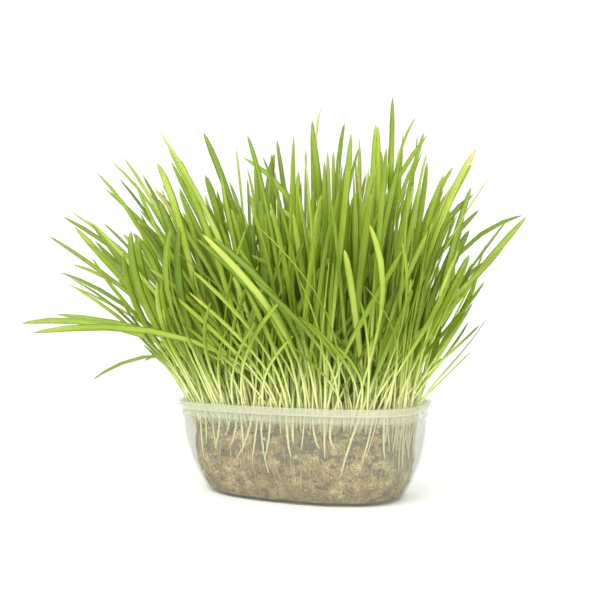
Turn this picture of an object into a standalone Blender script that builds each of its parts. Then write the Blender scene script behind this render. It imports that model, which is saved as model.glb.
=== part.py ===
"""A tray of wheatgrass: a frosted plastic tub, the block of soil in it, and the grass in clumps.

Each clump is a handful of shoots that rise from one plug of matted roots, and each plug sits in its own
pocket in the soil. A shoot is a pale stem that opens into a long leaf, and most stems fork into a second one.
The origin is the middle of the tub's foot. +X is along the tub, +Y across it and +Z up.
"""

import math

import bmesh
import bpy
import numpy as np

MM = 0.001

# The tub, an oblong with round corners whose wall draws in to a smaller foot.
TUB_LENGTH = 172 * MM
TUB_WIDTH = 116 * MM
TUB_HEIGHT = 63 * MM
RIM_POWER = 3.1  # how square the plan is at the rim, where 2 is an ellipse
FOOT_POWER = 2.35
WALL = 1.1 * MM
LIP_OVERHANG = 3.3 * MM
LIP_SKIRT = 4.6 * MM
LIP_THICKNESS = 0.9 * MM
BAND_PROUD = 1.0 * MM
BAND_BOTTOM = 53 * MM
FOOT_INSET = 14 * MM  # how far the wall draws in between the turn and the foot
TURN_HEIGHT = 50 * MM
TURN_POWER = 2.1
FOOT_EDGE = 1.2 * MM
FLOOR = 1.6 * MM
WALL_LEVELS = (4 * MM, 10 * MM, 18 * MM, 30 * MM)
TUB_SIDES = 36

# The soil, a block that has shrunk a little from the wall as it dried.
SOIL_GAP = 0.5 * MM
SOIL_TOP = 46 * MM
SOIL_TOP_HALF = (73 * MM, 50.3 * MM)
SOIL_EDGE = 2 * MM
SOIL_ROUGH = 0.7 * MM
SOIL_LEVELS = (8 * MM, 17 * MM, 30 * MM)
SOIL_SIDES = 32

# The root plugs, in rings that follow the soil's edge.
PLUG_RADIUS = 8.3 * MM
PLUG_FOOT_RADIUS = 5 * MM
PLUG_DEPTH = 13 * MM
PLUG_SIDES = 6
PLUG_RISE = 1.2 * MM
POCKET_GAP = 0.5 * MM
POCKET_RISE = 0.6 * MM
PLUG_EDGE = 9.8 * MM
PLUG_RINGS = ((0 * MM, 16), (20.4 * MM, 9))  # inset from the outermost plugs, and how many
MIDDLE_ROW = (24.2 * MM, 3)  # half its length, and how many

# The shoots. A pair holds the least and the most, and the shares are of a leaf's own length.
SHOOTS_ROUND_PLUG = 8
SHOOT_CIRCLE = 5.3 * MM
ROOT_DEPTH = 4 * MM
STEM_WIDTH = 1.9 * MM
STEM_DEPTH = 1.6 * MM
STEM_SHARE = 0.24
LEAF_DEPTH = 0.85 * MM
LEAF_WIDTH = (3.4 * MM, 6.4 * MM)
LEAF_ROLL = (0.4, 1.4)
LONG_LEAF_ROLL = (0.8, 1.3)
LEAF_OPENS_OVER = 0.45
LEAF_TAPERS_FROM = 0.8
LEAF_RINGS = (0, 0.22, 0.45, 0.68, 0.9)
FORK_RINGS = (0, 0.3, 0.62, 0.89)
SHOOT_HEIGHT = (158 * MM, 208 * MM)
TALLER_RIGHT = 0.09
SHORTER_OUT = 0.8
FORK_CHANCE = 0.85
FORK_SHARE = (0.16, 0.36)
FORK_LENGTH = (80 * MM, 140 * MM)

# How far the shoots lean, as run over rise: those at the left and right ends, and those at the front and back.
LEAN_LEFT = (0.26, 0.95)
LEAN_RIGHT = (0.0, 0.26)
LEAN_BACK = 0.36
LEAN_NOISE = 0.1
SPREAD_HALF = (78 * MM, 60 * MM)

MOST_TRIES = 200
SEED = 20

# The light comes along this line, 24 degrees from the tub's long side, and the leaves spread along it.
LIGHT_TURN = math.radians(24)
ALONG = np.array([math.cos(LIGHT_TURN), math.sin(LIGHT_TURN), 0.0])
ACROSS = np.array([-math.sin(LIGHT_TURN), math.cos(LIGHT_TURN), 0.0])
UP = np.array([0.0, 0.0, 1.0])

# The long leaves that stand clear of the rest, in millimetres along the light, across it and up, and degrees
# from upright. Root along, root across, rise of the stem, tip along, tip across, tip height, lean at the tip,
# reach of the tip's lean, and the leaf's width.
LONG_LEAVES = (
    (-10, -38, 42, -170, -52, 109, -100, 95, 4.4),
    (-38, -30, 40, -196, 2, 115, -99, 80, 4.6),
    (-52, -16, 44, -178, 4, 176, -58, 62, 4.4),
    (-44, 18, 50, -176, 30, 193, -62, 70, 3.6),
    (-62, -2, 36, -172, 12, 151, -72, 58, 3.4),
    (-58, 22, 40, -170, 24, 143, -68, 60, 2.8),
    (-66, 10, 34, -152, -8, 133, -70, 46, 2.8),
    (-22, -32, 44, -164, -22, 121, -84, 80, 5.6),
    (-60, 14, 40, -165, 16, 157, -76, 54, 2.6),
    (-62, -12, 42, -130, -6, 156, -40, 36, 3.4),
    (-70, 20, 24, -114, 22, 88, -132, 30, 2.8),
    (-72, 2, 28, -102, 2, 90, -112, 24, 3.2),
    (-71, -12, 16, -92, -16, 88, -28, 14, 3.4),
    (-34, -36, 46, -98, -50, 150, -58, 50, 5.0),
    (-10, -46, 56, -40, -58, 113, -118, 34, 3.4),
    (-2, -38, 66, -35, -42, 159, -66, 46, 4.6),
    (18, -36, 80, -17, -40, 190, -58, 52, 4.6),
    (30, -40, 60, 52, -48, 168, 36, 50, 4.8),
    (-60, 30, 52, -156, 38, 73, -128, 52, 4.2),
    (-66, 26, 44, -152, 34, 91, -104, 44, 3.4),
    (-48, 34, 62, -144, 44, 236, -52, 46, 2.6),
    (-50, 2, 66, -128, 14, 233, -36, 60, 4.8),
    (-56, 14, 58, -130, 8, 217, -42, 56, 4.0),
    (-40, -8, 56, -134, -16, 206, -50, 76, 5.4),
    (-58, -6, 48, -138, -4, 184, -50, 46, 2.8),
    (-24, 6, 74, -93, 6, 229, -24, 64, 5.0),
    (-22, 22, 78, -73, 26, 254, -24, 60, 5.2),
    (-12, -10, 60, -40, -30, 224, -62, 84, 5.2),
    (-2, 30, 82, -20, 40, 252, -8, 60, 3.6),
    (10, 10, 84, 6, 4, 257, -3, 50, 4.6),
    (18, 34, 92, 13, 44, 276, 22, 34, 3.2),
    (30, 24, 84, 30, 30, 262, 14, 50, 3.8),
    (46, 8, 90, 51, 10, 256, 2, 60, 6.0),
    (56, -14, 92, 60, -16, 268, 1, 70, 4.6),
    (60, 20, 70, 82, 30, 266, 34, 54, 2.8),
    (68, -4, 70, 104, 2, 224, 34, 60, 4.2),
    (70, 6, 66, 106, 12, 214, 26, 60, 4.6),
    (62, -20, 60, 112, -26, 200, 54, 50, 4.0),
    (58, 18, 62, 128, 30, 198, 46, 56, 4.4),
    (66, -10, 52, 152, 2, 190, 76, 66, 4.0),
    (72, -26, 44, 148, -22, 186, 42, 70, 4.6),
    (66, -34, 40, 134, -30, 184, 38, 64, 3.6),
    (38, -34, 34, 112, -34, 103, 91, 58, 2.6),
)
LONG_LEAF_STEM = 0.3

# Cells of the air that are already taken, so that no leaf crosses another or the tub.
CELL = 1.3 * MM
AIR_LOW = np.array([-200 * MM, -140 * MM, 0.0])
AIR_CELLS = (290, 215, 215)

TUB_COLOUR = (0.80, 0.83, 0.72, 0.45)
SOIL_COLOUR = (0.30, 0.22, 0.12, 1.0)
GRASS_COLOUR = (0.22, 0.42, 0.06, 1.0)


def clear_scene():
    for obj in list(bpy.data.objects):
        bpy.data.objects.remove(obj)


def material(name, colour, roughness):
    made = bpy.data.materials.new(name)
    made.use_nodes = True
    shader = made.node_tree.nodes["Principled BSDF"]
    shader.inputs["Base Color"].default_value = colour
    shader.inputs["Alpha"].default_value = colour[3]
    shader.inputs["Roughness"].default_value = roughness
    return made


def add_object(name, points, faces, finish=None):
    """A closed mesh as an object, with its faces turned outwards."""
    mesh = bpy.data.meshes.new(name)
    mesh.from_pydata([tuple(p) for p in points], [], faces)
    work = bmesh.new()
    work.from_mesh(mesh)
    bmesh.ops.recalc_face_normals(work, faces=work.faces)
    work.to_mesh(mesh)
    work.free()
    if finish is not None:
        mesh.materials.append(finish)
    made = bpy.data.objects.new(name, mesh)
    bpy.context.scene.collection.objects.link(made)
    return made


def oblong(half_length, half_width, power, sides):
    """Points round an oblong with round corners: a superellipse, spread evenly round it."""
    turn = np.arange(sides) * 2 * math.pi / sides
    c, s = np.cos(turn), np.sin(turn)
    reach = (np.abs(c) ** power + np.abs(s) ** power) ** (-1 / power)
    return np.stack([half_length * reach * c, half_width * reach * s], axis=1)


def loft(rings, low_centre, high_centre):
    """Points and triangles of the closed surface through rings of alike points, ended by a fan at each centre."""
    sides = len(rings[0])
    points = np.concatenate([*rings, [low_centre], [high_centre]])
    first, last = len(points) - 2, len(points) - 1
    top = (len(rings) - 1) * sides
    faces = []
    for k in range(sides):
        after = (k + 1) % sides
        faces.append((first, after, k))
        faces.append((last, top + k, top + after))
        for r in range(len(rings) - 1):
            low, high = r * sides, (r + 1) * sides
            faces.append((low + k, low + after, high + after))
            faces.append((low + k, high + after, high + k))
    return points, faces


def wall_inset(height):
    """How far the outside of the wall stands in from the lip's edge at a height."""
    below = max(0.0, TURN_HEIGHT - height) / TURN_HEIGHT
    return LIP_OVERHANG + FOOT_INSET * below**TURN_POWER


def plan_power(height):
    """How square the tub's plan is at a height."""
    share = min(1.0, height / TURN_HEIGHT)
    return FOOT_POWER + (RIM_POWER - FOOT_POWER) * share


def tub_ring(height, inset):
    plan = oblong(TUB_LENGTH / 2 - inset, TUB_WIDTH / 2 - inset, plan_power(height), TUB_SIDES)
    return np.column_stack([plan, np.full(TUB_SIDES, height)])


def tub_profile():
    """(height, inset) from the flat underside's edge, up the outside, over the lip and down inside."""
    band = LIP_OVERHANG - BAND_PROUD
    lip_low = TUB_HEIGHT - LIP_SKIRT
    lip_under = TUB_HEIGHT - LIP_THICKNESS
    outside = [
        (0.0, wall_inset(0) + FOOT_EDGE),
        (FOOT_EDGE / 2, wall_inset(0)),
        *((z, wall_inset(z)) for z in WALL_LEVELS),
        (BAND_BOTTOM, LIP_OVERHANG),
        (BAND_BOTTOM + BAND_PROUD / 2, band),
        (lip_under, band),
        (lip_under, LIP_THICKNESS),
        (lip_low, LIP_THICKNESS),
        (lip_low, 0.1 * MM),
        (TUB_HEIGHT - 0.6 * MM, 0.0),
        (TUB_HEIGHT, 0.6 * MM),
    ]
    inside = [
        (TUB_HEIGHT, band + 0.7 * MM),
        (lip_under, band + WALL),
        (BAND_BOTTOM + BAND_PROUD / 2, band + WALL),
        (BAND_BOTTOM - BAND_PROUD / 2, LIP_OVERHANG + WALL),
        *((z, wall_inset(z) + WALL) for z in reversed(WALL_LEVELS)),
        (FLOOR, wall_inset(FLOOR) + WALL),
    ]
    return outside + inside


def build_tub():
    rings = [tub_ring(z, inset) for z, inset in tub_profile()]
    points, faces = loft(rings, (0, 0, 0), (0, 0, FLOOR))
    tub = add_object("tray", points, faces, material("frosted_plastic", TUB_COLOUR, 0.35))
    tub.data.shade_smooth()
    tub.data.set_sharp_from_angle(angle=math.radians(35))
    return tub


def soil_half(height):
    """Half the soil's length and width at a height: against the wall at the foot, clear of it at the top."""
    share = (height / SOIL_TOP) ** 0.7
    inset = wall_inset(height) + WALL + SOIL_GAP
    against = np.array([TUB_LENGTH / 2 - inset, TUB_WIDTH / 2 - inset])
    return np.minimum(against, against * (1 - share) + np.array(SOIL_TOP_HALF) * share)


def soil_ring(height, rng, shrink=0.0):
    """One ring of the soil, with hollows but no bumps past its outline, so that it stays off the wall."""
    half = soil_half(height) - shrink
    plan = oblong(half[0], half[1], plan_power(height), SOIL_SIDES)
    hollow = 1 - rng.uniform(0, SOIL_ROUGH, SOIL_SIDES) / half[1]
    return np.column_stack([plan * hollow[:, None], np.full(SOIL_SIDES, height)])


def build_soil(rng, pockets):
    """The block of soil, rough round its sides, with a pocket for each root plug."""
    low = FLOOR + SOIL_GAP
    rings = [soil_ring(z, rng) for z in (low, *SOIL_LEVELS, SOIL_TOP - SOIL_EDGE)]
    rings.append(soil_ring(SOIL_TOP, rng, shrink=SOIL_EDGE))
    points, faces = loft(rings, (0, 0, low), (0, 0, SOIL_TOP))
    soil = add_object("soil", points, faces, material("soil", SOIL_COLOUR, 0.95))
    cut = soil.modifiers.new("pockets", "BOOLEAN")
    cut.operation = "DIFFERENCE"
    cut.solver = "EXACT"
    cut.object = pockets
    return soil


def plug_mesh(centre, turn, grow=0.0, rise=0.0):
    """Points and triangles of a root plug, or of its pocket when it is grown by a gap and raised clear."""
    angles = turn + np.arange(PLUG_SIDES) * 2 * math.pi / PLUG_SIDES
    circle = np.stack([np.cos(angles), np.sin(angles), np.zeros(PLUG_SIDES)], axis=1)
    middle = np.array([*centre, 0.0])
    taper = (PLUG_RADIUS - PLUG_FOOT_RADIUS) / PLUG_DEPTH
    top = SOIL_TOP + PLUG_RISE + rise
    low = SOIL_TOP - PLUG_DEPTH - grow
    rings = [
        middle + circle * (PLUG_FOOT_RADIUS - grow * taper + grow) + UP * low,
        middle + circle * (PLUG_RADIUS + (PLUG_RISE + rise) * taper + grow) + UP * top,
    ]
    return loft(rings, middle + UP * low, middle + UP * top)


def plug_centres():
    """Places of the plugs: rings that keep to the soil's outline, evenly filled, round a row in the middle."""
    places = []
    for inset, count in PLUG_RINGS:
        half = np.array(SOIL_TOP_HALF) - PLUG_EDGE - inset
        outline = oblong(half[0], half[1], RIM_POWER - 0.3, 720)
        outline = np.concatenate([outline, outline[:1]])
        steps = np.linalg.norm(np.diff(outline, axis=0), axis=1)
        run = np.concatenate([[0.0], np.cumsum(steps)])
        marks = (np.arange(count) + 0.5) * run[-1] / count
        places += list(zip(np.interp(marks, run, outline[:, 0]), np.interp(marks, run, outline[:, 1])))
    places += [(x, 0.0) for x in np.linspace(-MIDDLE_ROW[0], MIDDLE_ROW[0], MIDDLE_ROW[1])]
    return np.array(places)


def shoot_roots(centres, rng):
    """(plug, place) of every shoot: one in the middle of each plug and the rest round it."""
    roots = []
    for plug, centre in enumerate(centres):
        turn = rng.uniform(0, 2 * math.pi)
        roots.append((plug, centre + rng.uniform(-0.5, 0.5, 2) * MM))
        for k in range(SHOOTS_ROUND_PLUG):
            angle = turn + 2 * math.pi * (k + rng.uniform(-0.12, 0.12)) / SHOOTS_ROUND_PLUG
            out = SHOOT_CIRCLE + rng.uniform(-0.5, 0.4) * MM
            roots.append((plug, centre + out * np.array([math.cos(angle), math.sin(angle)])))
    return roots


def curve_at(path, t):
    """Points of the cubic curve through the first and last of four points, at shares t of the way."""
    t = np.asarray(t, float)[:, None]
    s = 1 - t
    return s**3 * path[0] + 3 * s**2 * t * path[1] + 3 * s * t**2 * path[2] + t**3 * path[3]


def heading_at(path, t):
    """Unit vectors along that curve."""
    t = np.asarray(t, float)[:, None]
    s = 1 - t
    step = s**2 * (path[1] - path[0]) + 2 * s * t * (path[2] - path[1]) + t**2 * (path[3] - path[2])
    return step / np.linalg.norm(step, axis=1, keepdims=True)


def leaf(path, width, stem, roll, twist):
    """A leaf as its curve, full width, share that is bare stem, and its roll about the curve from root to tip."""
    return {"path": np.array(path), "width": width, "stem": stem, "roll": roll, "twist": twist}


def width_at(blade, t):
    """Full width along a leaf: the stem's, opening into the blade's, then drawn in to the tip."""
    t = np.asarray(t, float)
    opened = np.clip((t - blade["stem"]) / LEAF_OPENS_OVER, 0, 1)
    opened = opened**2 * (3 - 2 * opened)
    wide = STEM_WIDTH + (blade["width"] - STEM_WIDTH) * opened
    late = np.clip((t - LEAF_TAPERS_FROM) / (1 - LEAF_TAPERS_FROM), 0, 1)
    return wide * (1 - late**2.2) ** 0.8


def depth_at(blade, t):
    """Depth of the keel along a leaf."""
    opened = np.clip((np.asarray(t, float) - blade["stem"]) / LEAF_OPENS_OVER, 0, 1)
    return STEM_DEPTH + (LEAF_DEPTH - STEM_DEPTH) * opened


def frame_at(blade, t):
    """Centre, side and face vectors along a leaf: the side lies across the plane that the leaf bends in."""
    path = blade["path"]
    centre, heading = curve_at(path, t), heading_at(path, t)
    level = np.cross(UP, path[3] - path[0])
    level = level / max(np.linalg.norm(level), 1e-9)
    side = level - (heading @ level)[:, None] * heading
    side = side / np.linalg.norm(side, axis=1, keepdims=True)
    face = np.cross(heading, side)
    angle = (blade["roll"] + blade["twist"] * np.asarray(t, float))[:, None]
    turned = np.cos(angle) * side + np.sin(angle) * face
    return centre, turned, np.cross(heading, turned)


def leaf_mesh(blade, shares):
    """Points and triangles of a leaf with a flat face and a keel behind it, ended in a point."""
    shares = np.array(shares)
    centre, side, face = frame_at(blade, shares)
    half = (width_at(blade, shares) / 2)[:, None]
    keel = depth_at(blade, shares)[:, None]
    left = centre - side * half + face * keel / 3
    right = centre + side * half + face * keel / 3
    back = centre - face * keel * 2 / 3
    rings = np.stack([left, right, back], axis=1)
    tip = blade["path"][3]
    points = np.concatenate([rings.reshape(-1, 3), [tip]])
    faces = [(0, 1, 2)]
    for r in range(len(shares) - 1):
        low, high = 3 * r, 3 * r + 3
        for k in range(3):
            after = (k + 1) % 3
            faces.append((low + k, high + k, high + after))
            faces.append((low + k, high + after, low + after))
    end = 3 * (len(shares) - 1)
    faces += [(end + k, len(points) - 1, end + (k + 1) % 3) for k in range(3)]
    return points, faces


def cells_of(points):
    return np.floor((points - AIR_LOW) / CELL).astype(int)


def leaf_cells(blade, start=0.0):
    """Cells that a leaf lies in, from a share of the way up."""
    t = np.linspace(start, 1, 160)
    centre, side, _ = frame_at(blade, t)
    half = (width_at(blade, t) / 2)[:, None]
    return cells_of(np.concatenate([centre + side * half * k for k in (-1, -0.6, -0.2, 0.2, 0.6, 1)]))


def take(air, cells):
    """Marks cells and their neighbours as taken."""
    for dx in (-1, 0, 1):
        for dy in (-1, 0, 1):
            for dz in (-1, 0, 1):
                air[cells[:, 0] + dx, cells[:, 1] + dy, cells[:, 2] + dz] = True


def is_free(air, blade, start):
    cells = leaf_cells(blade, start)
    inside = (cells >= 1).all() and (cells < np.array(AIR_CELLS) - 1).all()
    return bool(inside) and not air[cells[:, 0], cells[:, 1], cells[:, 2]].any()


def air_round_tub():
    """The air, with the cells along the tub's wall and lip taken."""
    air = np.zeros(AIR_CELLS, bool)
    for height in np.arange(30 * MM, TUB_HEIGHT + 2 * MM, CELL):
        low = min(height, TUB_HEIGHT)
        for inset in (0.0, LIP_OVERHANG / 2, LIP_OVERHANG + WALL):
            half = np.array([TUB_LENGTH, TUB_WIDTH]) / 2 - inset
            plan = oblong(half[0], half[1], plan_power(low), 600)
            take(air, cells_of(np.column_stack([plan, np.full(600, height)])))
    return air


def root_point(place):
    return np.array([place[0], place[1], SOIL_TOP + PLUG_RISE - ROOT_DEPTH])


def turned(least_and_most, rng):
    """A roll to either hand."""
    return rng.choice((-1, 1)) * rng.uniform(*least_and_most)


def long_leaf(place, row, rng):
    """One of the leaves in LONG_LEAVES, from the root that it was given."""
    _, _, rise, along, across, up, lean, reach, width = row
    root = root_point(place)
    tip = (along * ALONG + across * ACROSS + up * UP) * MM
    tilt = math.radians(lean)
    towards = math.sin(tilt) * ALONG + math.cos(tilt) * UP
    path = [root, root + rise * MM * UP, tip - reach * MM * towards, tip]
    return leaf(path, width * MM, LONG_LEAF_STEM, turned(LONG_LEAF_ROLL, rng), rng.uniform(-0.5, 0.5))


def spread(place, calm, rng):
    """Which way a shoot leans, as a level vector: outwards, and most of all towards the light on the left."""
    along, across = place @ ALONG[:2], place @ ACROSS[:2]
    least, most = LEAN_RIGHT if along > 0 else LEAN_LEFT
    out = min(1.0, abs(along) / SPREAD_HALF[0]) ** 1.3
    lean = math.copysign(out, along) * (least + (most - least) * rng.uniform(0, 1) ** 1.3)
    lean += rng.normal(0, LEAN_NOISE) * calm
    sway = LEAN_BACK * across / SPREAD_HALF[1] + rng.normal(0, LEAN_NOISE) * calm
    return lean * ALONG + sway * ACROSS


def upright_leaf(place, calm, rng):
    """The first leaf of a common shoot. It sways less as calm falls from 1."""
    root = root_point(place)
    lean = spread(place, calm, rng)
    height = rng.uniform(*SHOOT_HEIGHT) * (0.72 + 0.28 * calm) * (1 - 0.25 * min(1.0, np.linalg.norm(lean)))
    height *= 1 + TALLER_RIGHT * (place @ ALONG[:2]) / SPREAD_HALF[0] - SHORTER_OUT * max(0.0, lean @ ALONG)
    tip = root + height * (UP + lean)
    bend = rng.uniform(0.25, 0.9)
    path = [root, root + height * (0.36 * UP + 0.1 * lean), tip - height * (0.34 * UP + bend * lean), tip]
    stem = STEM_SHARE + rng.uniform(-0.05, 0.05)
    return leaf(path, rng.uniform(*LEAF_WIDTH), stem, turned(LEAF_ROLL, rng), rng.normal(0, 0.5))


def second_leaf(first, calm, rng):
    """A leaf that leaves the stem of another, low down, and leans away from it."""
    share = rng.uniform(*FORK_SHARE)
    start = curve_at(first["path"], [share])[0]
    heading = heading_at(first["path"], [share])[0]
    turn = rng.uniform(0, 2 * math.pi)
    away = np.array([math.cos(turn), math.sin(turn), 0.0])
    lean = spread(start[:2], calm, rng) * 0.7 + away * rng.uniform(0.2, 0.45)
    length = rng.uniform(*FORK_LENGTH) * (0.6 + 0.4 * calm)
    tip = start + length * (UP + lean)
    path = [start, start + 0.3 * length * (heading + 0.45 * away), tip - length * (0.3 * UP + 0.5 * lean), tip]
    width = rng.uniform(LEAF_WIDTH[0] * 0.8, LEAF_WIDTH[1] * 0.85)
    return leaf(path, width, 0.04, turned(LEAF_ROLL, rng), rng.normal(0, 0.5))


def first_free(air, make, start):
    """The first leaf of many tries that crosses nothing, or None. make takes a share that falls with each try."""
    for attempt in range(MOST_TRIES):
        blade = make(1 - attempt / MOST_TRIES)
        if is_free(air, blade, start):
            return blade
    return None


def nearest_root(roots, free, wanted):
    gaps = [np.linalg.norm(roots[k][1] - wanted) if k in free else np.inf for k in range(len(roots))]
    return int(np.argmin(gaps))


def grow_grass(centres, rng):
    """For each plug, the list of its shoots, where a shoot is a list of one or two leaves."""
    air = air_round_tub()
    roots = shoot_roots(centres, rng)
    free = set(range(len(roots)))
    shoots = [[] for _ in centres]
    for row in LONG_LEAVES:
        wanted = ((row[0] * ALONG + row[1] * ACROSS) * MM)[:2]
        k = nearest_root(roots, free, wanted)
        plug, place = roots[k]
        blade = first_free(air, lambda calm: long_leaf(place, row, rng), 0.08)
        if blade is None:
            continue
        free.discard(k)
        take(air, leaf_cells(blade))
        shoots[plug].append([blade])
    for k in rng.permutation(sorted(free)):
        plug, place = roots[k]
        first = first_free(air, lambda calm: upright_leaf(place, calm, rng), 0.06)
        if first is None:
            continue
        shoot = [first]
        if rng.random() < FORK_CHANCE:
            second = first_free(air, lambda calm: second_leaf(first, calm, rng), 0.12)
            shoot += [second] if second else []
        for blade in shoot:
            take(air, leaf_cells(blade))
        shoots[plug].append(shoot)
    return shoots


def build_clump(number, centre, turn, shoots, finish):
    """One node: a root plug with its shoots, joined by a Boolean union."""
    points, faces = plug_mesh(centre, turn)
    clump = add_object(f"grass_clump_{number:02d}", points, faces, finish)
    blades = bpy.data.collections.new("blades")
    bpy.context.scene.collection.children.link(blades)
    for shoot in shoots:
        for blade, shares in zip(shoot, (LEAF_RINGS, FORK_RINGS)):
            points, faces = leaf_mesh(blade, shares)
            made = add_object("blade", points, faces)
            bpy.context.scene.collection.objects.unlink(made)
            blades.objects.link(made)
    join = clump.modifiers.new("join", "BOOLEAN")
    join.operation = "UNION"
    join.operand_type = "COLLECTION"
    join.solver = "MANIFOLD"
    join.collection = blades
    graph = bpy.context.evaluated_depsgraph_get()
    joined = bpy.data.meshes.new_from_object(clump.evaluated_get(graph))
    clump.modifiers.clear()
    clump.data = joined
    for made in list(blades.objects):
        bpy.data.objects.remove(made)
    bpy.data.collections.remove(blades)
    return clump


def build_pockets(centres, turns):
    """The cutter for the soil: every plug's pocket in one mesh, open at the top."""
    points, faces = [], []
    for centre, turn in zip(centres, turns):
        more, sides = plug_mesh(centre, turn, grow=POCKET_GAP, rise=POCKET_RISE)
        faces += [tuple(len(points) + k for k in face) for face in sides]
        points += list(more)
    pockets = add_object("pockets", points, faces)
    pockets.hide_render = True
    pockets.display_type = "WIRE"
    return pockets


def main():
    clear_scene()
    rng = np.random.default_rng(SEED)
    centres = plug_centres()
    turns = rng.uniform(0, 2 * math.pi, len(centres))
    shoots = grow_grass(centres, rng)
    build_tub()
    build_soil(rng, build_pockets(centres, turns))
    finish = material("grass", GRASS_COLOUR, 0.5)
    for number, (centre, turn, own) in enumerate(zip(centres, turns, shoots), start=1):
        build_clump(number, centre, turn, own, finish)
    leaves = [blade for own in shoots for shoot in own for blade in shoot]
    print(len(centres), "clumps,", sum(map(len, shoots)), "shoots,", len(leaves), "leaves")


main()
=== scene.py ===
# %% [markdown]
# # A tray of wheatgrass
#
# A frosted food tub holds a block of soil, and a few hundred wheat plants stand in it. A plain solid model
# already gives every part its place and size. This notebook gives each part the surface that a close look
# shows: thin, folded, ribbed leaves, crumbly soil with seeds and roots in it, and milky plastic.

# %% Open the solid model
import math

import bpy
import numpy as np
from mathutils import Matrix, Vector


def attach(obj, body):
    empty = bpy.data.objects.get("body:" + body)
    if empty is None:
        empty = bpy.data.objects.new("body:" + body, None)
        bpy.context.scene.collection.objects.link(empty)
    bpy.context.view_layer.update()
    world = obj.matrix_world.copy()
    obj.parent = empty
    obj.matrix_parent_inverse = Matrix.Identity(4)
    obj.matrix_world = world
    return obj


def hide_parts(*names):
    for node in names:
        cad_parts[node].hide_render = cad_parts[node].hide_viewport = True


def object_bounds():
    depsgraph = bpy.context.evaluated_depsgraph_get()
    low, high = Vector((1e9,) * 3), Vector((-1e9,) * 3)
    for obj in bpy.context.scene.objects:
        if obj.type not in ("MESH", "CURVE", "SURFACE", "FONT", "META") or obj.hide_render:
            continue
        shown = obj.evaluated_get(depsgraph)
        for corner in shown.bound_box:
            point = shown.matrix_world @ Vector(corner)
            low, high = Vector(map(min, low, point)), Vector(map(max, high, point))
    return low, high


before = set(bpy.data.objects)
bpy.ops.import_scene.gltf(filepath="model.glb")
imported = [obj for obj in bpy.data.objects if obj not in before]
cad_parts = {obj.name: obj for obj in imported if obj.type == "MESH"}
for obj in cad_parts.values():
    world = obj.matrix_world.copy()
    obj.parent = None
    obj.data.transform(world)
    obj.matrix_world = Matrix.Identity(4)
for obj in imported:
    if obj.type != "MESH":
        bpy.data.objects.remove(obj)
solid_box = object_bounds()
MM = 0.001
clump_names = sorted(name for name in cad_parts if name.startswith("grass_clump"))
print(len(clump_names), "clumps, in a box of", [round((b - a) / MM) for a, b in zip(*solid_box)], "mm")

# %% [markdown]
# ## Where the camera stands
#
# The tub is seen a little from its right: its long side is turned 24 degrees from the picture. So two level
# directions serve for the whole scene, one along the picture and one away from the camera. The lens is long
# enough that the tub's rim looks nearly flat, with the eye just above the tub.

# %% Camera
PICTURE_TURN = math.radians(24)
ALONG = np.array([math.cos(PICTURE_TURN), math.sin(PICTURE_TURN), 0.0])
ACROSS = np.array([-math.sin(PICTURE_TURN), math.cos(PICTURE_TURN), 0.0])
UP = np.array([0.0, 0.0, 1.0])
EYE = -558 * MM * ACROSS + 115 * MM * UP
AIM = -2.6 * MM * ALONG + 131.2 * MM * UP
LENS, SENSOR = 48.5, 36


def turned_towards(place, target):
    """The rotation that points a camera or a lamp at place towards target."""
    return Vector(target - place).to_track_quat("-Z", "Y").to_euler()


camera = bpy.data.objects.new("camera", bpy.data.cameras.new("camera"))
camera.data.sensor_width = SENSOR
camera.data.lens = LENS
camera.location = EYE
camera.rotation_euler = turned_towards(EYE, AIM)
bpy.context.scene.collection.objects.link(camera)
bpy.context.scene.camera = camera
print("the eye is", round(float(np.linalg.norm(EYE - AIM)) / MM), "mm from what it looks at")

# %% [markdown]
# ## Light
#
# The picture is bright and nearly without shadow, as in a white tent: a white world gives most of the light.
# Two wide soft lamps in front, the stronger on the left and higher, give the leaves a lit side, and a weak
# one lights the floor behind. A lamp can be made as a point, a sun or an area, and only a wide area gives
# edges this soft. The Standard view keeps white paper white, where Blender's usual one would dull it to
# grey.

# %% World and lamps
WORLD_STRENGTH = 1.08
GRASS_MIDDLE = 120 * MM * UP
world = bpy.data.worlds.new("white tent")
bpy.context.scene.world = world
world.use_nodes = True
world.node_tree.nodes["Background"].inputs["Color"].default_value = (1.0, 1.0, 1.0, 1.0)
world.node_tree.nodes["Background"].inputs["Strength"].default_value = WORLD_STRENGTH
bpy.context.scene.view_settings.view_transform = "Standard"


def add_lamp(name, place, width, watts):
    """A square area lamp that faces the middle of the grass."""
    lamp = bpy.data.objects.new(name, bpy.data.lights.new(name, "AREA"))
    lamp.data.size = width
    lamp.data.energy = watts
    lamp.location = place
    lamp.rotation_euler = turned_towards(place, GRASS_MIDDLE)
    bpy.context.scene.collection.objects.link(lamp)


add_lamp("key", -0.7 * ALONG - 0.9 * ACROSS + 1.0 * UP, 0.9, 13)
add_lamp("fill", 0.5 * ALONG - 1.2 * ACROSS + 0.25 * UP, 1.2, 12)
add_lamp("top", 0.2 * ALONG + 0.5 * ACROSS + 1.5 * UP, 1.0, 4)
print(len(bpy.data.lights), "lamps and a world of strength", WORLD_STRENGTH)

# %% [markdown]
# ## A short way to write materials
#
# A material is a graph of nodes. Written out by hand, each node takes several lines, so two small classes
# shorten it. A Wire is one output of a node, and arithmetic on wires adds the Math nodes that work it out. A
# Finish is a material being made, and its node method adds any other node.


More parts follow.
